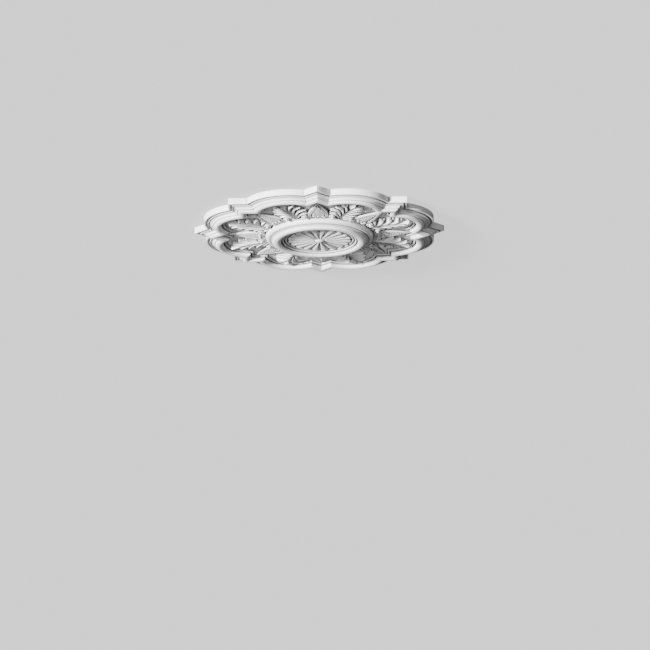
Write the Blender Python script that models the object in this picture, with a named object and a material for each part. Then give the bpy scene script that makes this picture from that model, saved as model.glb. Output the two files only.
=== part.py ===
"""An eight-lobed ceiling rose, cast in one piece, hanging from the ceiling plane z = 0.

Sizes are in metres and +Z is up, so the relief hangs down to negative z. A "drop" is a distance below
the ceiling. An "inset" is a distance inwards from the outer edge of the frame moulding. One pointed tip
looks along -Y. Pieces of carving are laid out along a radius: "out" runs from the rose's axis to its
edge and "across" is square to that.
"""

from math import atan2, cos, hypot, pi, sin, sqrt

import bmesh
import bpy

# Plan of the frame: eight round lobes, with a right-angled tip between each two.
LOBES = 8
TIP_RADIUS = 0.360
LOBE_CENTRE = 0.2125
LOBE_RADIUS = 0.1332
LOBE_STEPS = 8

# Frame moulding, from its outer edge inwards: widths and depths of its members.
FASCIA_DEPTH = 0.0172
SOFFIT_WIDTH = 0.0108
FILLET_WIDTH = 0.0014
FILLET_DEPTH = 0.0024
COVE_WIDTH = 0.0110
COVE_DEPTH = 0.0052
SHELF_WIDTH = 0.0040
TORUS_WIDTH = 0.0260
TORUS_DEPTH = 0.0080
LEDGE_WIDTH = 0.0036
FOOT_WIDTH = 0.0064
FIELD_DROP = 0.0175

# Centre ring, from its outer foot inwards.
RING_RADIUS = 0.1548
RING_WALL_DROP = 0.0310
OVOLO_WIDTH = 0.0125
OVOLO_DEPTH = 0.0092
RING_FILLET_DEPTH = 0.0020
RING_FILLET_WIDTH = 0.0022
RING_COVE_WIDTH = 0.0058
RING_COVE_DEPTH = 0.0040
RING_TORUS_WIDTH = 0.0246
RING_TORUS_DEPTH = 0.0057
INNER_STEP_WIDTH = 0.0030
INNER_COVE_WIDTH = 0.0046
INNER_COVE_DEPTH = 0.0036
INNER_SHELF_WIDTH = 0.0058
LIP_WIDTH = 0.0044
LIP_DEPTH = 0.0040

# Rosette inside the ring: gadrooned petals round a button.
PETALS = 20
PETAL_DEPTH = 0.0042
PETAL_END_WIDTH = 0.0060
ROSETTE_SWELL = 0.0022
BUTTON_RADIUS = 0.0165
BUTTON_DEPTH = 0.0064
BUTTON_FLAT_RADIUS = 0.0060

# Acanthus leaf in each lobe, from the ring to the frame.
LEAFLETS = 5
LEAF_RISE = 0.0165
LEAF_SPREAD = 0.37
LEAF_TIP_GAP = 0.0010
STEM_WIDTH = 0.0090

# Pointed shield behind each tip.
SHIELD_TIP_GAP = 0.0060
SHIELD_HALF_WIDTH = 0.0300
SHIELD_RISE = 0.0105
SHIELD_TIP_RISE = 0.0035
SHIELD_RIM_WIDTH = 0.0042
SHIELD_PANEL_SINK = 0.0016

# How far the carving goes into the body behind it, so that all is one solid.
SINK = 0.0040

AROUND = LOBES * (LOBE_STEPS + 2)


def quarter(start, end, steps, hollow=False):
    """Points of a quarter of an ellipse after start, up to end. It leaves start steeply, or flat if hollow."""
    (x0, d0), (x1, d1) = start, end
    points = []
    for i in range(1, steps + 1):
        angle = i / steps * pi / 2
        along, deep = (sin(angle), 1 - cos(angle)) if hollow else (1 - cos(angle), sin(angle))
        points.append((x0 + (x1 - x0) * along, d0 + (d1 - d0) * deep))
    return points


def half_round(start, width, depth, steps):
    """Points of a half ellipse after start, bulging downwards, to its far foot at the same drop."""
    x0, d0 = start
    return [
        (x0 + width * (1 - cos(i / steps * pi)) / 2, d0 + depth * sin(i / steps * pi))
        for i in range(1, steps + 1)
    ]


def frame_profile():
    """(inset, drop) of the frame moulding, from the ceiling at its outer edge to the field."""
    line = [(0.0, 0.0), (0.0, FASCIA_DEPTH)]

    def step(width, depth):
        line.append((line[-1][0] + width, line[-1][1] + depth))

    step(SOFFIT_WIDTH, 0)
    step(FILLET_WIDTH, FILLET_DEPTH)
    line.extend(quarter(line[-1], (line[-1][0] + COVE_WIDTH, line[-1][1] + COVE_DEPTH), 2, hollow=True))
    step(SHELF_WIDTH, 0)
    line.extend(half_round(line[-1], TORUS_WIDTH, TORUS_DEPTH, 5))
    step(LEDGE_WIDTH, 0)
    line.extend(quarter(line[-1], (line[-1][0] + FOOT_WIDTH, FIELD_DROP), 2))
    return line


def ring_profile():
    """(inset from the ring's outer radius, drop) of the centre ring, from the field to the rosette."""
    line = [(0.0, FIELD_DROP), (0.0, RING_WALL_DROP)]

    def step(width, depth):
        line.append((line[-1][0] + width, line[-1][1] + depth))

    line.extend(quarter(line[-1], (line[-1][0] + OVOLO_WIDTH, line[-1][1] + OVOLO_DEPTH), 3))
    step(RING_FILLET_WIDTH, RING_FILLET_DEPTH)
    line.extend(
        quarter(line[-1], (line[-1][0] + RING_COVE_WIDTH, line[-1][1] + RING_COVE_DEPTH), 2, hollow=True)
    )
    line.extend(half_round(line[-1], RING_TORUS_WIDTH, RING_TORUS_DEPTH, 5))
    step(INNER_STEP_WIDTH, 0)
    step(INNER_COVE_WIDTH, -INNER_COVE_DEPTH)
    step(INNER_SHELF_WIDTH, 0)
    step(LIP_WIDTH, -LIP_DEPTH)
    return line


def frame_outline(inset):
    """Plan points (x, y) of the frame's edge moved inwards by inset, tip first, AROUND in all."""
    half = pi / LOBES
    centre = (LOBE_CENTRE * sin(half), LOBE_CENTRE * cos(half))
    radius = LOBE_RADIUS - inset
    tip_out = TIP_RADIUS - inset * sqrt(2)
    # The tip's side is the line out + across = tip_out. It meets the lobe's circle here.
    reach = tip_out - centre[1]
    total = centre[0] + reach
    across = (total - sqrt(total**2 - 2 * (centre[0] ** 2 + reach**2 - radius**2))) / 2
    first = atan2(tip_out - across - centre[1], across - centre[0])
    middle = atan2(centre[1], centre[0])
    sector = [(0.0, tip_out)]
    for i in range(LOBE_STEPS + 1):
        angle = middle + (first - middle) * (1 - 2 * i / LOBE_STEPS)
        sector.append((centre[0] + radius * cos(angle), centre[1] + radius * sin(angle)))
    return [turned(point, lobe * 2 * pi / LOBES) for lobe in range(LOBES) for point in sector]


def turned(point, angle):
    """A point (across, out) as plan x and y, with out turned by angle from -Y towards +X."""
    across, out = point
    return (out * sin(angle) + across * cos(angle), across * sin(angle) - out * cos(angle))


def circle(radius):
    """AROUND plan points of a circle, in step with frame_outline."""
    return [turned((0.0, radius), i * 2 * pi / AROUND) for i in range(AROUND)]


def frame_width():
    return frame_profile()[-1][0]


def rosette_radius():
    return RING_RADIUS - ring_profile()[-1][0]


def petal_swell(angle):
    """0 in the groove between two petals and 1 on a petal's crest."""
    return abs(sin(angle * PETALS / 2)) ** 0.6


def rosette_rows():
    """Rows of (x, y, drop) for the petals, from the ring's lip to the button's foot."""
    outer = rosette_radius()
    floor = ring_profile()[-1][1]
    rows = []
    radii = [outer - PETAL_END_WIDTH * share for share in (0.35, 1.0)]
    radii += [BUTTON_RADIUS + (outer - PETAL_END_WIDTH - BUTTON_RADIUS) * share for share in (0.5, 0.0)]
    for radius in radii:
        share = (outer - radius) / (outer - BUTTON_RADIUS)
        end = min(1.0, (outer - radius) / PETAL_END_WIDTH)
        crest = PETAL_DEPTH * sqrt(1 - (1 - end) ** 2) * (1 - 0.55 * share)
        row = []
        for i, (x, y) in enumerate(circle(radius)):
            swell = petal_swell(i * 2 * pi / AROUND)
            row.append((x, y, floor + ROSETTE_SWELL * share + crest * swell))
        rows.append(row)
    return rows


def button_rows(foot_drop):
    """Rows of (x, y, drop) for the domed button, from its foot to the rim of its small flat."""
    rows = []
    for angle in (0.0, pi / 4, pi / 2):
        radius = BUTTON_FLAT_RADIUS + (BUTTON_RADIUS - BUTTON_FLAT_RADIUS) * cos(angle)
        rows.append([(x, y, foot_drop + BUTTON_DEPTH * sin(angle)) for x, y in circle(radius)])
    return rows[1:]


def body_rows():
    """All closed rows of the body, from the back's edge to the button's flat."""
    rows = [[(x, y, drop) for x, y in frame_outline(inset)] for inset, drop in frame_profile()]
    rows += [[(x, y, drop) for x, y in circle(RING_RADIUS - inset)] for inset, drop in ring_profile()]
    petals = rosette_rows()
    rows += petals
    rows += button_rows(petals[-1][0][2])
    return rows


def new_object(name, material):
    mesh = bpy.data.meshes.new(name)
    piece = bpy.data.objects.new(name, mesh)
    bpy.context.scene.collection.objects.link(piece)
    mesh.materials.append(material)
    return piece


def fill(piece, build):
    """Fills piece's mesh with what build(bm) makes, closed, triangulated and facing out."""
    bm = bmesh.new()
    build(bm)
    bmesh.ops.recalc_face_normals(bm, faces=bm.faces)
    bmesh.ops.triangulate(bm, faces=bm.faces)
    bm.to_mesh(piece.data)
    bm.free()


def bridge(bm, row_a, row_b):
    """Quads between two closed rows of as many vertices."""
    count = len(row_a)
    for i in range(count):
        j = (i + 1) % count
        bm.faces.new((row_a[i], row_a[j], row_b[j], row_b[i]))


def cap(bm, row, centre):
    """A fan from a centre vertex to a closed row."""
    middle = bm.verts.new(centre)
    for i in range(len(row)):
        bm.faces.new((row[i], row[(i + 1) % len(row)], middle))


def build_body(bm):
    """Frame moulding, field, centre ring and rosette as one closed body with a flat back."""
    rows = [[bm.verts.new((x, y, -drop)) for x, y, drop in row] for row in body_rows()]
    for row_a, row_b in zip(rows, rows[1:]):
        bridge(bm, row_a, row_b)
    cap(bm, rows[0], (0, 0, 0))
    cap(bm, rows[-1], (0, 0, rows[-1][0].co.z))


def leaf_half_width(share):
    """Half the leaf's width, as a share of its length, at a share of the way from base to tip."""
    widest = 0.42
    if share < widest:
        return LEAF_SPREAD * (1 - 0.22 * ((widest - share) / widest) ** 2)
    return LEAF_SPREAD * (1 - ((share - widest) / (1 - widest)) ** 2.1) ** 0.8


def spine_rise(share):
    """The leaf's height over the field along its stem, as a share of LEAF_RISE: low in the middle."""
    return 0.66 - 0.50 * share + 0.95 * share**3 - 0.22 * share**6


def leaf_points():
    """The points of each leaflet of half a leaf, as (across, along, rise). The rise is in LEAF_RISE.

    A leaflet leaves the stem at its root, sweeps up towards the leaf's tip and ends in a rounded tip.
    """
    leaflets = []
    for i in range(LEAFLETS):
        tip = 0.07 + 0.90 * (i + 0.42) / LEAFLETS
        notch = 0.07 + 0.90 * (i + 0.94) / LEAFLETS
        root = tip * 0.66
        wide = leaf_half_width(tip)
        lift = spine_rise(tip)
        leaflets.append(
            {
                "root": root,
                "ridge": (wide * 0.46, tip - 0.055, lift * 1.02),
                "crest": (wide * 0.82, tip - 0.008, lift * 0.90),
                "low_shoulder": (wide * 0.97, tip - 0.080, lift * 0.40),
                "tip": (wide * 1.05, tip - 0.010, lift * 0.40),
                "high_shoulder": (wide * 0.93, tip + 0.055, lift * 0.46),
                "notch": (leaf_half_width(min(notch, 0.97)) * 0.72, notch, lift * 0.30),
                "valley": (leaf_half_width(notch) * 0.38, notch - 0.085, spine_rise(notch) * 0.60),
                "valley_root": notch * 0.66 + 0.03,
            }
        )
    return leaflets


def build_leaf(bm, lobe):
    """One acanthus leaf: five rounded leaflets on each side of a stem, and a tip that curls down."""
    base_out = RING_RADIUS - SINK
    tip_out = LOBE_CENTRE + LOBE_RADIUS - frame_width() - LEAF_TIP_GAP
    length = tip_out - base_out
    turn = (lobe + 0.5) * 2 * pi / LOBES
    floor_z = -(FIELD_DROP - SINK)
    half_stem = STEM_WIDTH / 2

    def place(across, along, rise, side):
        x, y = turned((side * across * length, base_out + along * length), turn)
        return bm.verts.new((x, y, -(FIELD_DROP + rise * LEAF_RISE)))

    def stem_point(along, rise, across):
        taper = 1 - 0.75 * along
        x, y = turned((across * taper, base_out + along * length), turn)
        return bm.verts.new((x, y, -(FIELD_DROP + rise * LEAF_RISE)))

    leaflets = leaf_points()
    apex = stem_point(1.0, spine_rise(1.0) * 0.55, 0.0)
    curl = stem_point(0.955, spine_rise(0.955), 0.0)
    stem_along = [0.0]
    for leaflet in leaflets:
        stem_along += [leaflet["root"], leaflet["valley_root"]]
    stem_mid = [stem_point(a, spine_rise(a) + 0.06, 0.0) for a in stem_along]
    rims = []
    for side in (-1, 1):
        edge = [stem_point(a, spine_rise(a) - 0.10, side * half_stem) for a in stem_along]
        for i in range(len(stem_along) - 1):
            bm.faces.new((stem_mid[i], stem_mid[i + 1], edge[i + 1], edge[i]))
        bm.faces.new((stem_mid[-1], curl, edge[-1]))
        base = place(leaf_half_width(0.0) * 0.55, 0.0, 0.30, side)
        rim = [edge[0], base]
        last_notch, last_valley, last_root = base, base, edge[0]
        for i, leaflet in enumerate(leaflets):
            root, valley_root = edge[2 * i + 1], edge[2 * i + 2]
            ridge, crest = place(*leaflet["ridge"], side), place(*leaflet["crest"], side)
            shoulders = [place(*leaflet[key], side) for key in ("low_shoulder", "tip", "high_shoulder")]
            notch, valley = place(*leaflet["notch"], side), place(*leaflet["valley"], side)
            faces = [(last_root, root, ridge, last_valley), (root, valley_root, valley, ridge)]
            if last_valley is last_notch:
                faces.append((last_valley, ridge, crest))
            else:
                faces.append((last_valley, ridge, crest, last_notch))
            faces.append((ridge, valley, notch, crest))
            outer = [last_notch, *shoulders, notch]
            faces += [(crest, outer[k + 1], outer[k]) for k in range(4)]
            for face in faces:
                bm.faces.new(face)
            rim += [*shoulders, notch]
            last_notch, last_valley, last_root = notch, valley, valley_root
        for face in ((last_root, curl, last_valley), (last_valley, curl, last_notch), (curl, apex, last_notch)):
            bm.faces.new(face)
        rims.append(rim)
    left, right = rims
    outline = [stem_mid[0], *right, apex, *reversed(left)]
    floor = [bm.verts.new((v.co.x, v.co.y, floor_z)) for v in outline]
    bridge(bm, outline, floor)
    middle_x, middle_y = turned((0.0, base_out + 0.5 * length), turn)
    cap(bm, floor, (middle_x, middle_y, floor_z))


def shield_outline(inset):
    """(across, out) of the shield's edge moved inwards by inset, from its point round to its base."""
    base_out = RING_RADIUS - SINK + inset
    tip_out = TIP_RADIUS - frame_width() * sqrt(2) - SHIELD_TIP_GAP - inset * 2.4
    half = SHIELD_HALF_WIDTH - inset
    shape = ((0.86, 0.18), (0.66, 0.52), (0.44, 0.86), (0.24, 1.0), (0.08, 0.82))
    side = [(half * wide, base_out + (tip_out - base_out) * along) for along, wide in shape]
    return [(0.0, tip_out), *side, (0.0, base_out), *[(-a, out) for a, out in reversed(side)]]


def shield_rise(out):
    """Height over the field at a distance out: high by the ring and low at the point."""
    base_out = RING_RADIUS - SINK
    tip_out = TIP_RADIUS - frame_width() * sqrt(2) - SHIELD_TIP_GAP
    share = (out - base_out) / (tip_out - base_out)
    return SHIELD_RISE + (SHIELD_TIP_RISE - SHIELD_RISE) * share**1.4


def build_shield(bm, tip):
    """One pointed shield with a raised rim round a sunk panel."""
    turn = tip * 2 * pi / LOBES
    floor_drop = FIELD_DROP - SINK

    def row(inset, sink):
        verts = []
        for across, out in shield_outline(inset):
            x, y = turned((across, out), turn)
            verts.append(bm.verts.new((x, y, -(FIELD_DROP + shield_rise(out) - sink))))
        return verts

    foot = [
        bm.verts.new((*turned(point, turn), -floor_drop))
        for point in shield_outline(0.0)
    ]
    rows = [foot, row(0.0, SHIELD_PANEL_SINK), row(SHIELD_RIM_WIDTH / 2, 0.0)]
    rows.append(row(SHIELD_RIM_WIDTH, SHIELD_PANEL_SINK))
    for row_a, row_b in zip(rows, rows[1:]):
        bridge(bm, row_a, row_b)
    panel_out = sum(out for _, out in shield_outline(0.0)) / len(shield_outline(0.0))
    middle = turned((0.0, panel_out), turn)
    cap(bm, rows[-1], (*middle, -(FIELD_DROP + shield_rise(panel_out) - SHIELD_PANEL_SINK)))
    cap(bm, foot, (*middle, -floor_drop))


def plaster_white():
    material = bpy.data.materials.new("matt_white_casting")
    material.use_nodes = True
    shader = material.node_tree.nodes["Principled BSDF"]
    shader.inputs["Base Color"].default_value = (0.80, 0.80, 0.80, 1.0)
    shader.inputs["Roughness"].default_value = 0.62
    shader.inputs["Metallic"].default_value = 0.0
    return material


def join_to(body, carving):
    """Unites carving with body, and leaves carving as a guide that isn't part of the model."""
    carving.hide_render = True
    carving.display_type = "WIRE"
    union = body.modifiers.new(carving.name, "BOOLEAN")
    union.operation = "UNION"
    union.object = carving


def main():
    for old in list(bpy.data.objects):
        bpy.data.objects.remove(old)
    white = plaster_white()
    rose = new_object("ceiling_rose", white)
    fill(rose, build_body)
    shields = new_object("shields_guide", white)
    fill(shields, lambda bm: [build_shield(bm, tip) for tip in range(LOBES)])
    leaves = new_object("leaves_guide", white)
    fill(leaves, lambda bm: [build_leaf(bm, lobe) for lobe in range(LOBES)])
    join_to(rose, shields)
    join_to(rose, leaves)


main()
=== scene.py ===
"""Looks of the ceiling rose: the finely carved white casting that stands for the facetted solid.

Everything is in metres in the frame's coordinates: the ceiling is the plane z = 0 and the relief hangs
below it. A "drop" is a distance below the ceiling. Carving is laid out along a radius of the rose: "out"
runs from its axis to its edge and "across" is square to that.
"""

from math import acos, atan2, cos, exp, hypot, pi, radians, sin, sqrt

import bmesh
import bpy
from mathutils import Matrix, Vector


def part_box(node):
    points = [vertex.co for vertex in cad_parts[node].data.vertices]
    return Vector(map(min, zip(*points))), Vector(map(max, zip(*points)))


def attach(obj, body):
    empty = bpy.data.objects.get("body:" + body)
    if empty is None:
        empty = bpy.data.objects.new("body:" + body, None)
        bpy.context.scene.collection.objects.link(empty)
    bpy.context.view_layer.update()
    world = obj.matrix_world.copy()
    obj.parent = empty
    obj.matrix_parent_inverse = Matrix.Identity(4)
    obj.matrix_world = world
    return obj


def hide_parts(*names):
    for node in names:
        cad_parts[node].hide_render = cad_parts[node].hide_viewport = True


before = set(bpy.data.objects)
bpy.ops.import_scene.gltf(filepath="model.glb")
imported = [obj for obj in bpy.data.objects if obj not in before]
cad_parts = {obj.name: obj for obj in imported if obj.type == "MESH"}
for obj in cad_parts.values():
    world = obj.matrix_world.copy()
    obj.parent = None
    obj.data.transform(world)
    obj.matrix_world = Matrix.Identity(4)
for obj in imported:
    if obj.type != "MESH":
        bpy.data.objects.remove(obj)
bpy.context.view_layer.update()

NODE = "ceiling_rose"

# Plan and depths, the same as the solid's.
LOBES = 8
SECTOR = 2 * pi / LOBES
TIP_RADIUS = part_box(NODE)[1].x
LOBE_CENTRE = 0.2125
LOBE_RADIUS = 0.1332
FASCIA_DEPTH = 0.0172
FIELD_DROP = 0.0175
FRAME_WIDTH = 0.0632
RING_RADIUS = 0.1548
ROSETTE_RADIUS = 0.0919
ROSETTE_DROP = 0.0386
BED_DROP = 0.0320

# Resolution of the mesh.
ARC_STEPS = 36
EAR_STEPS = 3
FIELD_ROWS = 6
TORUS_STEPS = 26
BEAD_STEPS = 8
RIDGE_STEPS = 19
SHARP_ANGLE = radians(32)
EASE = 0.0005

# How far a piece of carving goes into the body behind it.
SINK = 0.0040


def turned(point, angle):
    """A point (across, out) as plan x and y, with out turned by angle from -Y towards +X."""
    across, out = point
    return (out * sin(angle) + across * cos(angle), across * sin(angle) - out * cos(angle))


# Meshes


def new_piece(name, build):
    """An object made by build(bm), shown in place of the solid."""
    mesh = bpy.data.meshes.new(name)
    bm = bmesh.new()
    build(bm)
    bmesh.ops.recalc_face_normals(bm, faces=bm.faces)
    bmesh.ops.triangulate(bm, faces=[face for face in bm.faces if len(face.verts) > 4])
    bm.to_mesh(mesh)
    bm.free()
    mesh.shade_smooth()
    mesh.set_sharp_from_angle(angle=SHARP_ANGLE)
    piece = bpy.data.objects.new(name, mesh)
    bpy.context.scene.collection.objects.link(piece)
    mesh.materials.append(white_casting())
    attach(piece, "root")
    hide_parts(NODE)
    return piece


def bridge(bm, row_a, row_b):
    """Quads between two closed rows of as many vertices."""
    count = len(row_a)
    for i in range(count):
        j = (i + 1) % count
        bm.faces.new((row_a[i], row_a[j], row_b[j], row_b[i]))


def stack(bm, rows):
    """Closed rows of (x, y, drop) joined in order. Returns the first and the last row's vertices."""
    rows = [[bm.verts.new((x, y, -drop)) for x, y, drop in row] for row in rows]
    for row_a, row_b in zip(rows, rows[1:]):
        bridge(bm, row_a, row_b)
    return rows[0], rows[-1]


def fan(bm, row, centre):
    """A fan from a centre vertex to a closed row."""
    middle = bm.verts.new(centre)
    for i in range(len(row)):
        bm.faces.new((row[i], row[(i + 1) % len(row)], middle))


# Profiles, as lists of (inset, drop)

# A riser leans by this much, so that it catches the light.
RISER = 0.0003
GROOVE_WIDTH = 0.0026
CLEAR_CORNER = radians(24)


def step(line, width, depth):
    """Adds a corner that lies width further in and depth further down than the last one."""
    inset, drop = line[-1]
    line.append((inset + width, drop + depth))


def groove(line, deep, width, rise, riser=RISER):
    """Adds a flat groove: in by deep, along by width and out again by rise."""
    step(line, riser, -deep)
    step(line, width, 0)
    step(line, riser, rise)


def ellipse_quarter(start, end, steps, hollow=False):
    """A quarter of an ellipse after start, up to end. It leaves start steeply, or flat if hollow."""
    (x0, d0), (x1, d1) = start, end
    points = []
    for i in range(1, steps + 1):
        angle = i / steps * pi / 2
        along, deep = (sin(angle), 1 - cos(angle)) if hollow else (1 - cos(angle), sin(angle))
        points.append((x0 + (x1 - x0) * along, d0 + (d1 - d0) * deep))
    return points


def half_round(start, width, depth, steps, end_drop=None):
    """A half ellipse after start, bulging downwards, to a foot at end_drop or at the same drop."""
    x0, d0 = start
    fall = 0 if end_drop is None else end_drop - d0
    points = []
    for i in range(1, steps + 1):
        angle = i / steps * pi
        share = (1 - cos(angle)) / 2
        points.append((x0 + width * share, d0 + depth * sin(angle) + fall * share**3))
    return points


def eased(line, ease=EASE, steps=3):
    """The line with each clear corner rounded off."""
    points = [line[0]]
    for before, corner, after in zip(line, line[1:], line[2:]):
        a = (before[0] - corner[0], before[1] - corner[1])
        b = (after[0] - corner[0], after[1] - corner[1])
        long_a, long_b = hypot(*a), hypot(*b)
        straight = -(a[0] * b[0] + a[1] * b[1]) / (long_a * long_b)
        if acos(max(-1.0, min(1.0, straight))) < CLEAR_CORNER:
            points.append(corner)
            continue
        reach = min(ease, long_a * 0.4, long_b * 0.4)
        start = (corner[0] + a[0] / long_a * reach, corner[1] + a[1] / long_a * reach)
        end = (corner[0] + b[0] / long_b * reach, corner[1] + b[1] / long_b * reach)
        for i in range(steps + 1):
            t = i / steps
            parts = ((1 - t) ** 2, 2 * t * (1 - t), t * t)
            points.append(tuple(sum(w * p[k] for w, p in zip(parts, (start, corner, end))) for k in (0, 1)))
    points.append(line[-1])
    return points


def frame_profile():
    """The frame moulding, from the ceiling at its outer edge to the field."""
    line = [(0.0, 0.0), (0.0, FASCIA_DEPTH)]
    # Soffit with its sunk line, and the riser
    step(line, 0.0050, 0)
    groove(line, deep=0.0020, width=0.0052, rise=0.0044)
    step(line, 0.0012, 0)
    step(line, RISER, -0.0014)
    step(line, GROOVE_WIDTH, 0)
    # Cove and shelf
    line.extend(ellipse_quarter(line[-1], (0.0232, 0.0248), 8, hollow=True))
    step(line, 0.0036, 0)
    # Torus, and the bead between its two grooves
    line.extend(half_round(line[-1], 0.0234, 0.0080, TORUS_STEPS, end_drop=line[-1][1] - 0.0006))
    groove(line, deep=0.0066, width=GROOVE_WIDTH, rise=0.0030)
    line.extend(half_round(line[-1], 0.0046, 0.0014, BEAD_STEPS))
    step(line, RISER, -0.0038)
    step(line, GROOVE_WIDTH, 0)
    line.extend(ellipse_quarter(line[-1], (FRAME_WIDTH, FIELD_DROP), 4))
    return eased(line)


def ring_profile():
    """The centre ring, inwards from its outer foot on the field to the bed of the rosette."""
    line = [(0.0, FIELD_DROP), (0.0, 0.0310)]
    # Ovolo and groove
    line.extend(ellipse_quarter(line[-1], (0.0118, 0.0404), 10))
    groove(line, deep=0.0016, width=0.0016, rise=0.0034, riser=0.0002)
    # Small hollow and torus
    step(line, 0.0009, 0)
    inset, drop = line[-1]
    line.extend(ellipse_quarter(line[-1], (inset + 0.0058, drop + 0.0040), 6, hollow=True))
    line.extend(half_round(line[-1], 0.0232, 0.0054, TORUS_STEPS))
    # Two fine rolls, each behind a groove
    for deep, width in ((0.0062, 0.0052), (0.0050, 0.0056)):
        groove(line, deep, GROOVE_WIDTH, rise=0.0032)
        line.extend(half_round(line[-1], width, 0.0015, BEAD_STEPS, end_drop=line[-1][1] - 0.0008))
    step(line, RISER, -0.0034)
    inner_edge = RING_RADIUS - ROSETTE_RADIUS
    line.append((inner_edge, line[-1][1]))
    line.append((inner_edge, BED_DROP))
    return eased(line, ease=0.0004)


# Body: frame moulding, field and ring


def frame_rays(inset):
    """The frame's edge moved inwards by inset, as (radius, angle), going round from the first tip."""
    half = SECTOR / 2
    centre = (LOBE_CENTRE * sin(half), LOBE_CENTRE * cos(half))
    radius = LOBE_RADIUS - inset
    tip_out = TIP_RADIUS - inset * sqrt(2)
    # The tip's side is the line out + across = tip_out. It meets the lobe's circle here.
    reach = tip_out - centre[1]
    total = centre[0] + reach
    meet = (total - sqrt(total**2 - 2 * (centre[0] ** 2 + reach**2 - radius**2))) / 2
    soft = EASE * 1.2
    points = [(0.0, tip_out - soft * 0.5), (soft, tip_out - soft)]
    points += [(soft + (meet - soft) * i / EAR_STEPS, 0) for i in range(1, EAR_STEPS + 1)]
    points = [(across, out or tip_out - across) for across, out in points]
    first = atan2(tip_out - meet - centre[1], meet - centre[0])
    middle = atan2(centre[1], centre[0])
    for i in range(1, ARC_STEPS // 2 + 1):
        angle = first + (middle - first) * i / (ARC_STEPS // 2)
        points.append((centre[0] + radius * cos(angle), centre[1] + radius * sin(angle)))
    near = [(hypot(across, out), atan2(across, out)) for across, out in points]
    far = [(ray, SECTOR - angle) for ray, angle in reversed(near[1:-1])]
    return [(ray, angle + lobe * SECTOR) for lobe in range(LOBES) for ray, angle in near + far]


def ray_row(rays, drop):
    return [(*turned((0.0, ray), angle), drop) for ray, angle in rays]


def build_body(bm):
    """The casting without its carving: a flat back, the frame, the field, the ring and a flat bed."""
    profile = frame_profile()
    rows = [ray_row(frame_rays(inset), drop) for inset, drop in profile]
    edge = frame_rays(profile[-1][0])
    ring = ring_profile()
    for i in range(1, FIELD_ROWS):
        t = i / FIELD_ROWS
        rows.append(ray_row([(ray + (RING_RADIUS - ray) * t, angle) for ray, angle in edge], FIELD_DROP))
    for inset, drop in ring:
        rows.append(ray_row([(RING_RADIUS - inset, angle) for _, angle in edge], drop))
    back, bed = stack(bm, rows)
    fan(bm, back, (0, 0, 0))
    fan(bm, bed, (0, 0, -BED_DROP))


# Rosette: petals with reeds between them, round a button

PETALS = 20
PETAL_STEPS = 20
PETAL_ROWS = 26
PETAL_ROLL = 0.0052
ROSETTE_SWELL = 0.0024
ROSETTE_WALL = ROSETTE_RADIUS + 0.0006
ROSETTE_FLOOR = BED_DROP + 0.0001
ROSETTE_BACK = BED_DROP - 0.0020
BUTTON_RADIUS = 0.0165
BUTTON_DEPTH = 0.0062
BUTTON_STEPS = 10


def petal_end(t):
    """Radius where the petal's rounded end stands. t is 0 on a petal's crest and 0.5 between petals."""
    side = min(t / 0.44, 1.0)
    return ROSETTE_RADIUS - 0.0006 - 0.0094 * (1 - sqrt(max(0.0, 1 - side**2.2)))


def petal_height(t, share):
    """Height over the bed across a petal and half of the reed beside it, at a share of the way in."""
    reed_half = 0.085 - 0.02 * share
    petal_half = 0.5 - reed_half - 0.012
    deep = 1 - 0.40 * share
    if t < petal_half:
        return (0.0002 + 0.0046 * sqrt(max(0.0, 1 - (t / petal_half) ** 2.3))) * deep
    if t > 0.5 - reed_half:
        return (0.0008 + 0.0026 * sqrt(max(0.0, 1 - ((0.5 - t) / reed_half) ** 2))) * deep
    return 0.0004


def build_rosette(bm):
    """A shallow dome of petals with rounded ends, the drilled gaps between them and a round button."""
    around = PETALS * PETAL_STEPS

    def height(t, radius):
        share = (ROSETTE_RADIUS - radius) / (ROSETTE_RADIUS - BUTTON_RADIUS)
        swell = ROSETTE_SWELL * share
        roll = min(1.0, max(0.0, (petal_end(t) - radius) / PETAL_ROLL))
        rolled = sqrt(1 - (1 - roll) ** 2)
        return swell * roll + petal_height(t, share) * rolled

    def row(place):
        points = []
        for i in range(around):
            radius, drop = place(abs(i / PETAL_STEPS % 1.0 - 0.5))
            points.append((*turned((0.0, radius), i * 2 * pi / around), drop))
        return points

    rows = [row(lambda t: (ROSETTE_WALL, ROSETTE_BACK))]
    rows.append(row(lambda t: (ROSETTE_WALL, ROSETTE_FLOOR)))
    rows.append(row(lambda t: (petal_end(t) + 0.0004, ROSETTE_FLOOR)))
    for i in range(PETAL_ROWS + 1):
        share = (i / PETAL_ROWS) ** 1.6

        def place(t, share=share):
            end = petal_end(t)
            radius = end - 0.0001 + (BUTTON_RADIUS - end) * share
            return radius, ROSETTE_DROP + 0.0003 + height(t, radius)

        rows.append(row(place))
    # The button stands in a narrow ring-shaped groove.
    foot = ROSETTE_DROP + ROSETTE_SWELL
    shoulder = foot + 0.0012
    inner = BUTTON_RADIUS - 0.0016
    rows.append(row(lambda t: (BUTTON_RADIUS - 0.0008, foot)))
    rows.append(row(lambda t: (inner, foot)))
    for i in range(BUTTON_STEPS):
        angle = i / BUTTON_STEPS * pi / 2
        rows.append(row(lambda t, a=angle: (inner * cos(a) ** 0.9, shoulder + BUTTON_DEPTH * sin(a))))
    back, tip = stack(bm, rows)
    fan(bm, back, (0, 0, -ROSETTE_BACK))
    fan(bm, tip, (0, 0, -(shoulder + BUTTON_DEPTH)))


# Swept carving: leaflets, ribs and stems


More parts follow.
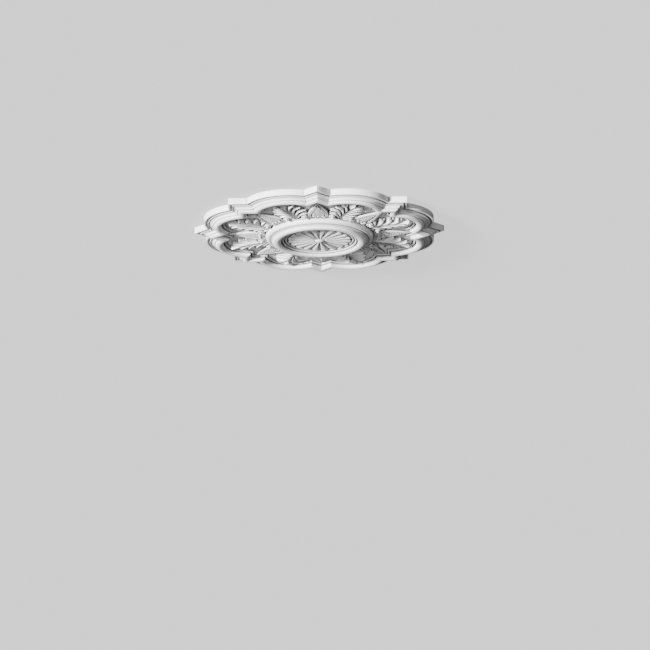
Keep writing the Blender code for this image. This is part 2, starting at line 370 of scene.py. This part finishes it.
def bezier(points, t):
    """A point on the cubic curve with these four control points."""
    weights = ((1 - t) ** 3, 3 * t * (1 - t) ** 2, 3 * t * t * (1 - t), t**3)
    return tuple(sum(w * p[k] for w, p in zip(weights, points)) for k in range(len(points[0])))


def carve(bm, stations, turn, section, floor_drop, foot=1.0, retreat=0.0):
    """A ridge along stations of (across, out, half width, edge drop, crest drop).

    section(u) gives the share of the way from edge to crest at u, from -1 to 1 across the ridge. The
    ridge is foot times as wide at the floor, where its end stands back by retreat.
    """
    spread = [-cos(pi * i / (RIDGE_STEPS - 1)) for i in range(RIDGE_STEPS)]
    rows = []
    last = len(stations) - 1
    for i, (across, out, half, edge, crest) in enumerate(stations):
        before, after = stations[max(i - 1, 0)], stations[min(i + 1, last)]
        run = (after[0] - before[0], after[1] - before[1])
        length = hypot(*run)
        normal = (-run[1] / length, run[0] / length)
        row = []
        for u in spread:
            point = (across + normal[0] * u * half, out + normal[1] * u * half)
            row.append((*turned(point, turn), edge + (crest - edge) * section(u)))
        back = retreat * (i / last) ** 2
        for u in (foot, -foot):
            point = (across + normal[0] * u * half, out - back + normal[1] * u * half)
            row.append((*turned(point, turn), floor_drop))
        rows.append(row)
    first, end = stack(bm, rows)
    bm.faces.new(first)
    bm.faces.new(end)


def rounded_section(u):
    """A smooth round ridge."""
    return max(0.0, 1 - abs(u) ** 1.9) ** 0.66


def ribbed_section(u):
    """A leaflet with its crest nearer the leaf's tip, a vein along it and a finer groove on each side."""
    u = (u - CREST_SHIFT) / (1 + (CREST_SHIFT if u < CREST_SHIFT else -CREST_SHIFT))
    grooves = 0.08 * exp(-((u / 0.10) ** 2)) + 0.04 * exp(-(((abs(u) - 0.44) / 0.08) ** 2))
    return 1 - abs(u) ** 1.2 - grooves * (1 - abs(u) ** 6)


def keeled_section(u):
    """A leaf tip's cross-section: two flanks that meet in a midrib, with two soft folds on each."""
    folds = 0.20 * exp(-(((abs(u) - 0.34) / 0.09) ** 2)) + 0.16 * exp(-(((abs(u) - 0.68) / 0.08) ** 2))
    return 1 - abs(u) ** 1.60 + 0.07 * exp(-((u / 0.07) ** 2)) - folds


def twin_section(u):
    """Two ribs side by side."""
    return rounded_section(u) - 0.55 * exp(-((u / 0.30) ** 2))


def ball(bm, centre, radius, flat=1.0):
    """A ball, or a flatter or longer one."""
    bmesh.ops.create_uvsphere(
        bm,
        u_segments=20,
        v_segments=12,
        radius=radius,
        matrix=Matrix.Translation(centre) @ Matrix.Diagonal((1, 1, flat, 1)),
    )


def tube(bm, points, radius, sides=8):
    """A round rod through points of (x, y, z), closed at both ends."""
    rows = []
    last = len(points) - 1
    for i, point in enumerate(points):
        run = Vector(points[min(i + 1, last)]) - Vector(points[max(i - 1, 0)])
        side = run.cross(Vector((0, 0, 1))).normalized()
        over = side.cross(run).normalized()
        row = []
        for k in range(sides):
            angle = 2 * pi * k / sides
            place = Vector(point) + (side * cos(angle) + over * sin(angle)) * radius
            row.append((place.x, place.y, -place.z))
        rows.append(row)
    first, end = stack(bm, rows)
    bm.faces.new(first)
    bm.faces.new(end)


# Acanthus leaf

LEAF_BASE = RING_RADIUS - SINK
LEAF_TIP = LOBE_CENTRE + LOBE_RADIUS - FRAME_WIDTH - 0.0010
LEAF_LENGTH = LEAF_TIP - LEAF_BASE
LEAF_RISE = 0.0165
LEAF_FALL = 0.20
LEAFLET_STEPS = 26
TIP_STEPS = 34
STEM_STEPS = 24
SHEET_STEPS = 20
# How far a leaflet's crest lies from its middle towards the leaf's tip, as a share of its half width
CREST_SHIFT = 0.42
EYE_RADIUS = 0.0017
EYE_RIM = 0.0026
EYE_SIDES = 14

# Each leaflet: where its root and tip stand along the leaf, how far out its tip is, how wide it gets
# and how far its end droops back. All are shares of the leaf's length.
LEAFLET_SHAPES = (
    (0.00, 0.270, 0.340, 0.096, 0.036),
    (0.05, 0.460, 0.380, 0.099, 0.022),
    (0.21, 0.640, 0.334, 0.091, 0.010),
    (0.38, 0.805, 0.252, 0.078, 0.000),
)
# The eyes between the leaflets' ends, as (across, along) in the same shares
EYES = ((0.322, 0.334), (0.320, 0.530), (0.258, 0.716), (0.150, 0.872))


def spine_rise(share):
    """The leaf's height over the field along its stem, as a share of LEAF_RISE: low in the middle."""
    return 0.74 - 0.40 * share + 0.72 * share**3 - 0.22 * share**6


def leaf_rise(across, along):
    """The leaf's height over the field: highest along its stem and falling to its edges."""
    return spine_rise(along) * (1 - LEAF_FALL * (abs(across) / 0.40) ** 1.4)


def leaf_station(across, along, half, edge, crest):
    """A station for carve from shares: of the leaf's length in plan, and of its rise over the field."""
    return (
        across * LEAF_LENGTH,
        LEAF_BASE + along * LEAF_LENGTH,
        half * LEAF_LENGTH,
        FIELD_DROP + edge * LEAF_RISE,
        FIELD_DROP + crest * LEAF_RISE,
    )


def rounded_end(t, start):
    """The share of its width that a lobe keeps at t, where it rounds off from start to its end at 1."""
    end = max(0.0, (t - start) / (1 - start))
    return sqrt(max(0.0, 1 - end**2)) + 0.02


def leaflet_stations(side, shape):
    """A leaflet that leaves the valley beside the stem, swells, arches outwards and rounds off steeply."""
    root, tip, reach, wide, droop = shape
    path = (
        (0.022, root),
        (0.030 + reach * 0.06, root + (tip - root) * 0.62),
        (reach * 0.50, tip + 0.020),
        (reach, tip - droop),
    )
    stations = []
    for i in range(LEAFLET_STEPS + 1):
        t = sin(i / LEAFLET_STEPS * pi / 2)
        across, along = bezier(path, t)
        closing = rounded_end(t, 0.66)
        spread = min(1.0, max(0.0, (t - 0.15) / 0.70))
        half = wide * (0.34 + 0.52 * spread**1.3) * closing
        crest = leaf_rise(across, along) * (0.62 + 0.48 * sin(min(1.0, t / 0.5) * pi / 2))
        edge = crest * (0.40 - 0.40 * t)
        crest = edge + (crest - edge) * closing**0.35
        stations.append(leaf_station(side * across, along, half, edge, crest))
    return stations


def build_eye(bm, side, across, along, turn):
    """The drilled eye with a raised rim between the ends of two neighbouring leaflets."""
    rise = LEAF_RISE * leaf_rise(across, along) * 0.62
    x, y = turned((side * across * LEAF_LENGTH, LEAF_BASE + along * LEAF_LENGTH), turn)
    rim = (
        (EYE_RIM, -SINK),
        (EYE_RIM, rise - 0.0007),
        ((EYE_RIM + EYE_RADIUS) / 2, rise),
        (EYE_RADIUS, rise - 0.0005),
        (EYE_RADIUS * 0.9, 0.0002),
    )
    rows = []
    for radius, height in rim:
        ring = [turned((radius, 0.0), 2 * pi * i / EYE_SIDES) for i in range(EYE_SIDES)]
        rows.append([(x + a, y + b, FIELD_DROP + height) for a, b in ring])
    back, pit = stack(bm, rows)
    bm.faces.new(back)
    bm.faces.new(pit)


def sheet_half_width(share):
    """Half the width of the sheet that the leaflets grow from."""
    broadest, widest = 0.42, 0.20
    if share < broadest:
        return widest * (1 - 0.30 * ((broadest - share) / broadest) ** 2)
    return widest * max(0.0, 1 - ((share - broadest) / (1 - broadest)) ** 2) ** 0.8


def straight_stations(start, end, steps, half_width, edge_rise, crest_rise):
    """Stations straight along the leaf's stem. The last three arguments are functions of the place."""
    stations = []
    for i in range(steps + 1):
        along = start + (end - start) * i / steps
        station = leaf_station(0.0, along, half_width(along), edge_rise(along), crest_rise(along))
        stations.append(station)
    return stations


def tip_stations():
    """The leaf's tip: a keeled lobe that broadens, hangs out from the field and ends in a point."""
    start, end = 0.60, 0.990
    broadest, narrow, widest = 0.36, 0.028, 0.098
    stations = []
    for i in range(TIP_STEPS + 1):
        t = sin(i / TIP_STEPS * pi / 2)
        if t < broadest:
            half = narrow + (widest - narrow) * sin(t / broadest * pi / 2) ** 1.5
        else:
            half = widest * max(0.02, 1 - ((t - broadest) / (1 - broadest)) ** 1.45)
        edge = 0.08 + 0.12 * t**2
        crest = edge + (0.52 + 0.40 * t**2.4 - edge) * rounded_end(t, 0.88)
        stations.append(leaf_station(0.0, start + (end - start) * t, half, edge, crest))
    return stations


VOLUTE_ACROSS = 0.0270
VOLUTE_OUT = RING_RADIUS + 0.0160
VOLUTE_RADIUS = 0.0096
VOLUTE_TURNS = 1.65
VOLUTE_START = radians(-118)
VOLUTE_STEPS = 51
ENTRY_STEPS = 10


def build_volute(bm, side, turn):
    """The lowest leaflet, which leaves the leaf's base and rolls up into a spiral with a round eye."""
    lead = ((0.0040, LEAF_BASE), (0.0080, LEAF_BASE + 0.0040), (0.0120, VOLUTE_OUT - 0.0150))
    places = []
    for i in range(VOLUTE_STEPS + 1):
        t = i / VOLUTE_STEPS
        angle = VOLUTE_START + VOLUTE_TURNS * 2 * pi * t
        reach = VOLUTE_RADIUS * (1 - 0.74 * t**0.9)
        places.append((VOLUTE_ACROSS + cos(angle) * reach, VOLUTE_OUT + sin(angle) * reach, t))
    entry = (*lead, places[0][:2])
    places = [(*bezier(entry, i / ENTRY_STEPS), 0.0) for i in range(ENTRY_STEPS)] + places
    stations = []
    for across, out, t in places:
        crest = FIELD_DROP + 0.0112 + 0.0046 * t
        half = 0.0027 - 0.0011 * t
        stations.append((side * across, out, half, crest - 0.0026, crest))
    carve(bm, stations, turn, rounded_section, FIELD_DROP - SINK)
    x, y = turned((side * VOLUTE_ACROSS, VOLUTE_OUT), turn)
    ball(bm, (x, y, -(FIELD_DROP + 0.0144)), 0.0032)
    ball(bm, (x, y, -(FIELD_DROP + 0.0024)), VOLUTE_RADIUS, flat=1.10)


def build_leaf(bm, turn):
    """An acanthus leaf: a thin sheet, four leaflets, their eyes and a volute on each side, tip and stem."""
    floor = FIELD_DROP - SINK
    sheet = straight_stations(
        0.0,
        0.97,
        SHEET_STEPS,
        sheet_half_width,
        lambda s: 0.06,
        lambda s: spine_rise(s) * 0.16,
    )
    carve(bm, sheet, turn, rounded_section, floor)
    for side in (-1, 1):

        def section(u, side=side):
            return ribbed_section(side * u)

        for shape in LEAFLET_SHAPES:
            carve(bm, leaflet_stations(side, shape), turn, section, floor)
        for across, along in EYES:
            build_eye(bm, side, across, along, turn)
        build_volute(bm, side, turn)
    carve(bm, tip_stations(), turn, keeled_section, floor, foot=0.70, retreat=0.0100)
    stem = straight_stations(
        0.0,
        0.80,
        STEM_STEPS,
        lambda s: 0.036 - 0.026 * s,
        lambda s: spine_rise(s) * 0.45,
        lambda s: spine_rise(s) * 0.86,
    )
    carve(bm, stem, turn, twin_section, floor)


# Shield behind each tip

SHIELD_BASE = RING_RADIUS - SINK
SHIELD_TIP = TIP_RADIUS - FRAME_WIDTH * sqrt(2) - 0.0060
SHIELD_LENGTH = SHIELD_TIP - SHIELD_BASE
SHIELD_HALF_WIDTH = 0.0300
SHIELD_RISE = 0.0105
SHIELD_TIP_RISE = 0.0035
SHIELD_SHOULDER = 0.26
SHIELD_STEPS = 22
PANEL_INSET = 0.0106
PANEL_SINK = 0.0024
PANEL_SWELL = 0.0016
PANEL_STEPS = 12
NET_SPACING = 0.0094
NET_SLOPE = 1.35
NET_RIB = 0.0012
NET_FEET = range(-8, 20)
NET_FINE = 0.0006
NET_REACH = 60
NET_SKIP = 3
BEADS = 3
BEAD_SPACING = 0.0126
BEAD_RADIUS = 0.0040
BEAD_OUT = 0.1722


def shield_width(share):
    """Half width at a share of the way from base to point: full near the base, with hollow shoulders."""
    if share < SHIELD_SHOULDER:
        return SHIELD_HALF_WIDTH * sqrt(max(0.0, 1 - ((SHIELD_SHOULDER - share) / 0.34) ** 2))
    s = (share - SHIELD_SHOULDER) / (1 - SHIELD_SHOULDER)
    return SHIELD_HALF_WIDTH * (cos(s * pi / 2) ** 1.25) * (1 - 0.10 * sin(pi * s))


def shield_side(inset):
    """One side of the shield moved inwards by inset, as (across, out) from base to point, evenly spaced."""
    fine = SHIELD_STEPS * 4
    line = [(shield_width(i / fine), SHIELD_BASE + SHIELD_LENGTH * i / fine) for i in range(fine + 1)]
    moved = []
    for i, (across, out) in enumerate(line):
        before, after = line[max(i - 1, 0)], line[min(i + 1, fine)]
        run = (after[0] - before[0], after[1] - before[1])
        length = hypot(*run)
        moved.append((across - inset * run[1] / length, out + inset * run[0] / length))
        if moved[-1][0] <= 0:
            break
    moved[0] = (moved[0][0], SHIELD_BASE)
    if moved[-1][0] < 0:
        (a, b), (c, d) = moved[-2:]
        moved[-1] = (0.0, b + (d - b) * a / (a - c))
    gone = [0.0]
    for before, after in zip(moved, moved[1:]):
        gone.append(gone[-1] + hypot(after[0] - before[0], after[1] - before[1]))
    side = []
    k = 0
    for i in range(SHIELD_STEPS):
        wanted = gone[-1] * i / SHIELD_STEPS
        while gone[k + 1] < wanted:
            k += 1
        share = (wanted - gone[k]) / (gone[k + 1] - gone[k])
        side.append(tuple(p + (q - p) * share for p, q in zip(moved[k], moved[k + 1])))
    return side + [(0.0, moved[-1][1])]


def shield_row(inset):
    """The shield's closed outline moved inwards by inset: up one side and down the other."""
    side = shield_side(inset)
    return side + [(-across, out) for across, out in reversed(side[:-1])]


def shield_share(out):
    """The share of the way from the shield's base to its point."""
    return (out - SHIELD_BASE) / SHIELD_LENGTH


def shield_rise(out):
    """The border's height over the field, which falls towards the point."""
    return SHIELD_RISE + (SHIELD_TIP_RISE - SHIELD_RISE) * max(0.0, shield_share(out)) ** 1.4


def panel_drop(across, out):
    """The netted panel's surface: sunk inside its border and swelling a little in the middle."""
    share = min(max(shield_share(out), 0.0), 1.0)
    half = max(0.0005, shield_width(share) - PANEL_INSET)
    swell = PANEL_SWELL * max(0.0, 1 - (across / half) ** 2)
    return FIELD_DROP + shield_rise(out) - PANEL_SINK + swell


# The shield's border, as (inset, sink): a flat band, a groove, a round rib and another groove
SHIELD_EDGE = (
    (0.0, 0.0034),
    (0.0003, 0.0012),
    (0.0010, 0.0003),
    (0.0020, 0.0),
    (0.0034, 0.0001),
    (0.0040, 0.0006),
    (0.0045, 0.0022),
    (0.0050, 0.0023),
    (0.0054, 0.0012),
    (0.0062, 0.0002),
    (0.0073, -0.0003),
    (0.0084, 0.0002),
    (0.0092, 0.0012),
    (0.0096, 0.0029),
    (0.0102, 0.0030),
    (PANEL_INSET, PANEL_SINK),
)


def build_panel(bm, row, turn):
    """Fills the closed row of the shield's innermost outline with a swelling panel."""
    side = shield_side(PANEL_INSET)
    last = len(side) - 1
    lines = []
    for i in range(last):
        line = [row[i]]
        for k in range(1, PANEL_STEPS):
            across, out = side[i][0] * (1 - 2 * k / PANEL_STEPS), side[i][1]
            x, y = turned((across, out), turn)
            line.append(bm.verts.new((x, y, -panel_drop(across, out))))
        lines.append([*line, row[2 * last - i]])
    for line_a, line_b in zip(lines, lines[1:]):
        for k in range(PANEL_STEPS):
            bm.faces.new((line_a[k], line_a[k + 1], line_b[k + 1], line_b[k]))
    for k in range(PANEL_STEPS):
        bm.faces.new((lines[-1][k], lines[-1][k + 1], row[last]))
    bm.faces.new(lines[0])


def build_shield(bm, turn):
    """A pointed shield with a double border round a sunk, netted panel, and beads along its base."""
    rows = [[(*turned(point, turn), FIELD_DROP - SINK) for point in shield_row(0.0)]]
    for inset, sink in SHIELD_EDGE:
        row = shield_row(inset)
        rows.append([(*turned(point, turn), FIELD_DROP + shield_rise(point[1]) - sink) for point in row])
    back, panel = stack(bm, rows)
    middle = turned((0.0, SHIELD_BASE + SHIELD_LENGTH * 0.4), turn)
    fan(bm, back, (*middle, -(FIELD_DROP - SINK)))
    build_panel(bm, panel, turn)
    for slope in (-NET_SLOPE, NET_SLOPE):
        build_net(bm, turn, slope)
    for i in range(BEADS):
        across = (i - (BEADS - 1) / 2) * BEAD_SPACING
        x, y = turned((across, BEAD_OUT), turn)
        ball(bm, (x, y, -(FIELD_DROP + SHIELD_RISE - 0.0008)), BEAD_RADIUS, flat=0.85)


def inside_panel(across, out):
    """Whether the net covers this place: on the panel, between the beads and the point."""
    share = shield_share(out)
    if out <= BEAD_OUT + BEAD_RADIUS * 0.6 or share > 0.97:
        return False
    return abs(across) < shield_width(share) - PANEL_INSET * 0.98


def build_net(bm, turn, slope):
    """Thin ribs across the panel, all leaning the same way."""
    for k in NET_FEET:
        foot = SHIELD_BASE + k * NET_SPACING
        line = [(i * NET_FINE, foot + slope * i * NET_FINE) for i in range(-NET_REACH, NET_REACH + 1)]
        run = [point for point in line if inside_panel(*point)]
        if len(run) < 5:
            continue
        picked = run[::NET_SKIP] + ([run[-1]] if (len(run) - 1) % NET_SKIP else [])
        points = [(*turned(point, turn), -(panel_drop(*point) + NET_RIB * 0.3)) for point in picked]
        tube(bm, points, NET_RIB)


# Material

# Painted shade in hollows and creases: how far away a surface darkens a hollow, how fast it does, and the
# colour painted into the deepest one
PAINTED_SHADE_REACH = 0.0075
PAINTED_SHADE_POWER = 3.2
PAINTED_SHADE_COLOUR = (0.09, 0.09, 0.09, 1.0)


def add_noise(nodes, links, scale, detail):
    """Noise that is fixed to the object. Returns its strength as an output."""
    place = nodes.new("ShaderNodeTexCoord")
    noise = nodes.new("ShaderNodeTexNoise")
    noise.inputs["Scale"].default_value = scale
    noise.inputs["Detail"].default_value = detail
    links.new(place.outputs["Object"], noise.inputs["Vector"])
    return noise.outputs["Fac"]


def white_casting():
    """Matt white primer over a casting: faint cloudiness, painted shade in its hollows, a slightly uneven
    sheen and a fine grain.
    """
    name = "white_casting_paint"
    if name in bpy.data.materials:
        return bpy.data.materials[name]
    material = bpy.data.materials.new(name)
    material.use_nodes = True
    nodes, links = material.node_tree.nodes, material.node_tree.links
    shader = nodes["Principled BSDF"]

    # Cloudy white, with painted shade that darkens the hollows
    tint = nodes.new("ShaderNodeValToRGB")
    tint.color_ramp.elements[0].position = 0.30
    tint.color_ramp.elements[0].color = (0.795, 0.795, 0.795, 1.0)
    tint.color_ramp.elements[1].position = 0.70
    tint.color_ramp.elements[1].color = (0.835, 0.835, 0.835, 1.0)
    links.new(add_noise(nodes, links, 14.0, 4.0), tint.inputs["Fac"])
    # Painted shade: occlusion in hollows and creases darkens the base colour towards a near-black grey.
    hollow = nodes.new("ShaderNodeAmbientOcclusion")
    hollow.samples = 8
    hollow.inputs["Distance"].default_value = PAINTED_SHADE_REACH
    deep = nodes.new("ShaderNodeMath")
    deep.operation = "POWER"
    deep.inputs[1].default_value = PAINTED_SHADE_POWER
    links.new(hollow.outputs["AO"], deep.inputs[0])
    shade = nodes.new("ShaderNodeMix")
    shade.data_type = "RGBA"
    shade.inputs["A"].default_value = PAINTED_SHADE_COLOUR
    links.new(deep.outputs["Value"], shade.inputs["Factor"])
    links.new(tint.outputs["Color"], shade.inputs["B"])
    links.new(shade.outputs["Result"], shader.inputs["Base Color"])

    # Uneven sheen
    matt = nodes.new("ShaderNodeMapRange")
    matt.inputs["To Min"].default_value = 0.56
    matt.inputs["To Max"].default_value = 0.72
    links.new(add_noise(nodes, links, 60.0, 3.0), matt.inputs["Value"])
    links.new(matt.outputs["Result"], shader.inputs["Roughness"])

    # Fine grain
    bump = nodes.new("ShaderNodeBump")
    bump.inputs["Strength"].default_value = 0.10
    bump.inputs["Distance"].default_value = 0.0004
    links.new(add_noise(nodes, links, 900.0, 2.0), bump.inputs["Height"])
    links.new(bump.outputs["Normal"], shader.inputs["Normal"])
    shader.inputs["Specular IOR Level"].default_value = 0.35
    return material


# Stage: a plain pale ceiling, open where the rose is so that its back shows from above

CEILING_RINGS = (0.60, 2.0, 14.0)
CEILING_LIFT = 0.0002
CEILING_OVERLAP = 0.0030
CEILING_GREY = 0.20
CEILING_GLOW = 1.10


def ceiling_paint():
    """Plain matt paint that shows only from the room's side."""
    material = bpy.data.materials.new("ceiling_paint")
    material.use_nodes = True
    nodes, links = material.node_tree.nodes, material.node_tree.links
    paint = nodes["Principled BSDF"]
    paint.inputs["Base Color"].default_value = (CEILING_GREY, CEILING_GREY, CEILING_GREY, 1.0)
    paint.inputs["Roughness"].default_value = 0.9
    paint.inputs["Specular IOR Level"].default_value = 0.0
    paint.inputs["Emission Color"].default_value = (1.0, 1.0, 1.0, 1.0)
    paint.inputs["Emission Strength"].default_value = CEILING_GLOW
    clear = nodes.new("ShaderNodeBsdfTransparent")
    side = nodes.new("ShaderNodeNewGeometry")
    mix = nodes.new("ShaderNodeMixShader")
    links.new(side.outputs["Backfacing"], mix.inputs["Fac"])
    links.new(paint.outputs["BSDF"], mix.inputs[1])
    links.new(clear.outputs["BSDF"], mix.inputs[2])
    links.new(mix.outputs["Shader"], nodes["Material Output"].inputs["Surface"])
    return material


def make_ceiling():
    """A wide flat ceiling just above the rose's back, with a hole a little smaller than the rose."""
    mesh = bpy.data.meshes.new("ceiling_stage")
    bm = bmesh.new()
    hole = frame_rays(CEILING_OVERLAP)
    rings = [hole] + [[(reach, angle) for _, angle in hole] for reach in CEILING_RINGS]
    stack(bm, [ray_row(rays, -CEILING_LIFT) for rays in rings])
    for face in bm.faces:
        face.normal_update()
        if face.normal.z > 0:
            face.normal_flip()
    bm.to_mesh(mesh)
    bm.free()
    ceiling = bpy.data.objects.new("ceiling_stage", mesh)
    bpy.context.scene.collection.objects.link(ceiling)
    mesh.materials.append(ceiling_paint())
    ceiling.visible_diffuse = False
    ceiling.visible_glossy = False
    ceiling.visible_shadow = False


# Light and camera

# The suns, as (name, azimuth, elevation, strength, width of the disc), with all angles in degrees
SUNS = (
    ("key", -43, -7.5, 18.0, 6),
    ("side", -60, -25, 1.1, 14),
    ("front", 0, -13, 1.0, 30),
    ("above", -30, 89, 3.0, 4),
)
DIM_GLOW = 0.10
PALE_GLOW = 1.16

# The photograph's camera: its height below the ceiling, its distance and where it puts the rose
CAMERA_ANGLE = radians(18.89)
CAMERA_TURN = radians(1.10)
CAMERA_ROLL = radians(-0.25)
CAMERA_DISTANCE = 52.1 * TIP_RADIUS
IMAGE_SIZE = 650
FOCAL_PIXELS = 6508
SENSOR_WIDTH = 36.0
ROSE_PIXEL = (319.9, 226.5)


def direction(azimuth, elevation):
    """The direction with this azimuth, from -Y towards +X. A negative elevation is from below."""
    x, y = turned((0.0, cos(elevation)), azimuth)
    return Vector((x, y, sin(elevation)))


def add_sun(name, azimuth, elevation, strength, width):
    """Sunlight from a direction, in degrees."""
    lamp = bpy.data.lights.new(name, "SUN")
    lamp.energy = strength
    lamp.angle = radians(width)
    sun = bpy.data.objects.new(name, lamp)
    bpy.context.scene.collection.objects.link(sun)
    towards = direction(radians(azimuth), radians(elevation))
    sun.rotation_euler = towards.to_track_quat("Z", "Y").to_euler()


def add_world():
    """A dim grey surround that looks pale where the camera sees it directly."""
    world = bpy.data.worlds.new("studio")
    bpy.context.scene.world = world
    world.use_nodes = True
    nodes, links = world.node_tree.nodes, world.node_tree.links
    dim = nodes["Background"]
    dim.inputs["Color"].default_value = (1.0, 1.0, 1.0, 1.0)
    dim.inputs["Strength"].default_value = DIM_GLOW
    pale = nodes.new("ShaderNodeBackground")
    pale.inputs["Color"].default_value = (1.0, 1.0, 1.0, 1.0)
    pale.inputs["Strength"].default_value = PALE_GLOW
    path = nodes.new("ShaderNodeLightPath")
    mix = nodes.new("ShaderNodeMixShader")
    links.new(path.outputs["Is Camera Ray"], mix.inputs["Fac"])
    links.new(dim.outputs["Background"], mix.inputs[1])
    links.new(pale.outputs["Background"], mix.inputs[2])
    links.new(mix.outputs["Shader"], nodes["World Output"].inputs["Surface"])


def add_camera():
    """A long lens from below, aimed so that the rose's centre falls at ROSE_PIXEL."""
    lens = bpy.data.cameras.new("camera")
    lens.sensor_width = SENSOR_WIDTH
    lens.lens = FOCAL_PIXELS / IMAGE_SIZE * SENSOR_WIDTH
    lens.clip_end = 200.0
    camera = bpy.data.objects.new("camera", lens)
    bpy.context.scene.collection.objects.link(camera)
    bpy.context.scene.camera = camera
    place = direction(CAMERA_TURN, -CAMERA_ANGLE) * CAMERA_DISTANCE
    forward = -place.normalized()
    right = forward.cross(Vector((0, 0, 1))).normalized()
    up = right.cross(forward)
    facing = Matrix((right, up, -forward)).transposed()
    # Turning the camera this much moves the rose's centre from the middle of the picture to its pixel.
    off_x, off_y = (atan2(pixel - IMAGE_SIZE / 2, FOCAL_PIXELS) for pixel in ROSE_PIXEL)
    aim = Matrix.Rotation(off_x, 3, "Y") @ Matrix.Rotation(off_y, 3, "X")
    aim = aim @ Matrix.Rotation(CAMERA_ROLL, 3, "Z")
    camera.matrix_world = Matrix.Translation(place) @ (facing @ aim).to_4x4()


def main():
    new_piece("rose_moulding", build_body)
    new_piece("rose_rosette", build_rosette)
    for lobe in range(LOBES):
        new_piece(f"rose_leaf_{lobe + 1}", lambda bm, turn=(lobe + 0.5) * SECTOR: build_leaf(bm, turn))
        new_piece(f"rose_shield_{lobe + 1}", lambda bm, turn=lobe * SECTOR: build_shield(bm, turn))
    make_ceiling()
    for sun in SUNS:
        add_sun(*sun)
    add_world()
    add_camera()


main()
